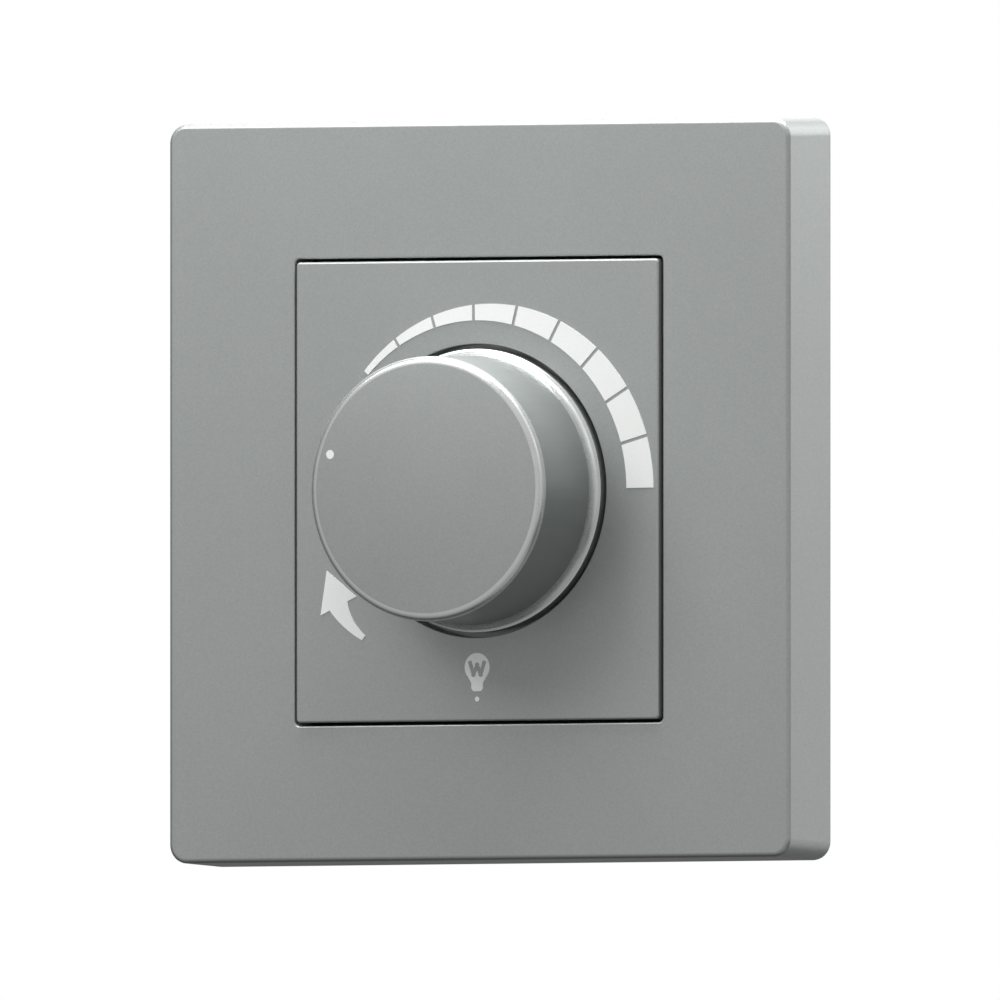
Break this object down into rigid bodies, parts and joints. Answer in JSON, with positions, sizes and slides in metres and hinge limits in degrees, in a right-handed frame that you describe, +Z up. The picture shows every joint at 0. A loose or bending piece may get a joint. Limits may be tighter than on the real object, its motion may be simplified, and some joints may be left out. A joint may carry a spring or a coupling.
{
  "type": "rotary dimmer switch",
  "caption": "Wall-mounted rotary dimmer: clip-on cover frame, face panel with crescent scale, round pointer knob on a switched control, rear housing with screw terminals.",
  "frame": {"origin": "centre of the cover frame on the wall plane, midway between the two wall screws", "axes": "+Z up, -Y out of the wall towards the room, +X to the right seen from the room"},
  "size_m": [0.0866, 0.0567, 0.0906],
  "materials": {
    "grey_paint": "satin metallic paint",
    "white_ink": "printed ink",
    "carrier_plastic": "moulded, fine texture",
    "housing_plastic": "moulded, fine texture",
    "terminal_plastic": "moulded",
    "zinc_steel": "zinc plated",
    "nickel_brass": "bright",
    "copper_wire": "enamelled",
    "ferrite": "matt",
    "sheet_aluminium": "mill finish",
    "board_laminate": "phenolic laminate",
    "component_resin": "moulded resin",
    "capacitor_case": "moulded",
    "resistor_coat": "lacquer",
    "fuse_glass": "clear"
  },
  "bodies": {
    "case": {"cover_frame": "grey_paint", "carrier": "carrier_plastic", "face_panel": "grey_paint", "scale_marks": "white_ink", "arrow_mark": "white_ink", "pot_bush": "nickel_brass", "pot_washer": "zinc_steel", "pot_nut": "zinc_steel", "pot_wafer": "board_laminate", "pot_can": "zinc_steel", "pot_switch": "component_resin", "pot_lugs": "nickel_brass", "switch_pins": "nickel_brass", "heat_sink": "sheet_aluminium", "triac": "component_resin", "triac_screw": "zinc_steel", "circuit_board": "board_laminate", "board_screws": "zinc_steel", "choke_core": "ferrite", "choke_winding": "copper_wire", "film_capacitors": "capacitor_case", "resistors": "resistor_coat", "diac": "component_resin", "fuse_tube": "fuse_glass", "fuse_caps": "nickel_brass", "fuse_clips": "nickel_brass", "terminal_block": "terminal_plastic", "terminal_bars": "nickel_brass", "rear_housing": "housing_plastic", "housing_screws": "zinc_steel"},
    "knob_set": {"knob": "grey_paint", "pointer_dot": "white_ink", "knob_clip": "zinc_steel", "pot_shaft": "nickel_brass", "pot_rotor": "component_resin", "pot_wiper": "nickel_brass"},
    "left_screw": {"terminal_screw_left": "zinc_steel"},
    "right_screw": {"terminal_screw_right": "zinc_steel"},
    "left_cage": {"clamp_cage_left": "nickel_brass"},
    "right_cage": {"clamp_cage_right": "nickel_brass"}
  },
  "joints": [
    {"name": "knob_turn", "type": "hinge", "parent": "case", "child": "knob_set", "pos_m": [0, -0.011, 0], "axis": [0, 1, 0], "range_deg": [-63, 162]},
    {"name": "left_screw_turn", "type": "hinge", "parent": "case", "child": "left_screw", "pos_m": [-0.0041, 0.0252, 0.01995], "axis": [0, -1, 0], "range_deg": [0, 1920]},
    {"name": "left_cage_rise", "type": "slide", "parent": "case", "child": "left_cage", "axis": [0, 1, 0], "range_m": [0, 0.0032]},
    {"name": "right_screw_turn", "type": "hinge", "parent": "case", "child": "right_screw", "pos_m": [0.0041, 0.0252, 0.01995], "axis": [0, -1, 0], "range_deg": [0, 1920]},
    {"name": "right_cage_rise", "type": "slide", "parent": "case", "child": "right_cage", "axis": [0, 1, 0], "range_m": [0, 0.0032]}
  ],
  "couplings": [
    {"joint": "left_screw_turn", "follows": "left_cage_rise", "rad_per_m": 10472},
    {"joint": "right_screw_turn", "follows": "right_cage_rise", "rad_per_m": 10472}
  ]
}
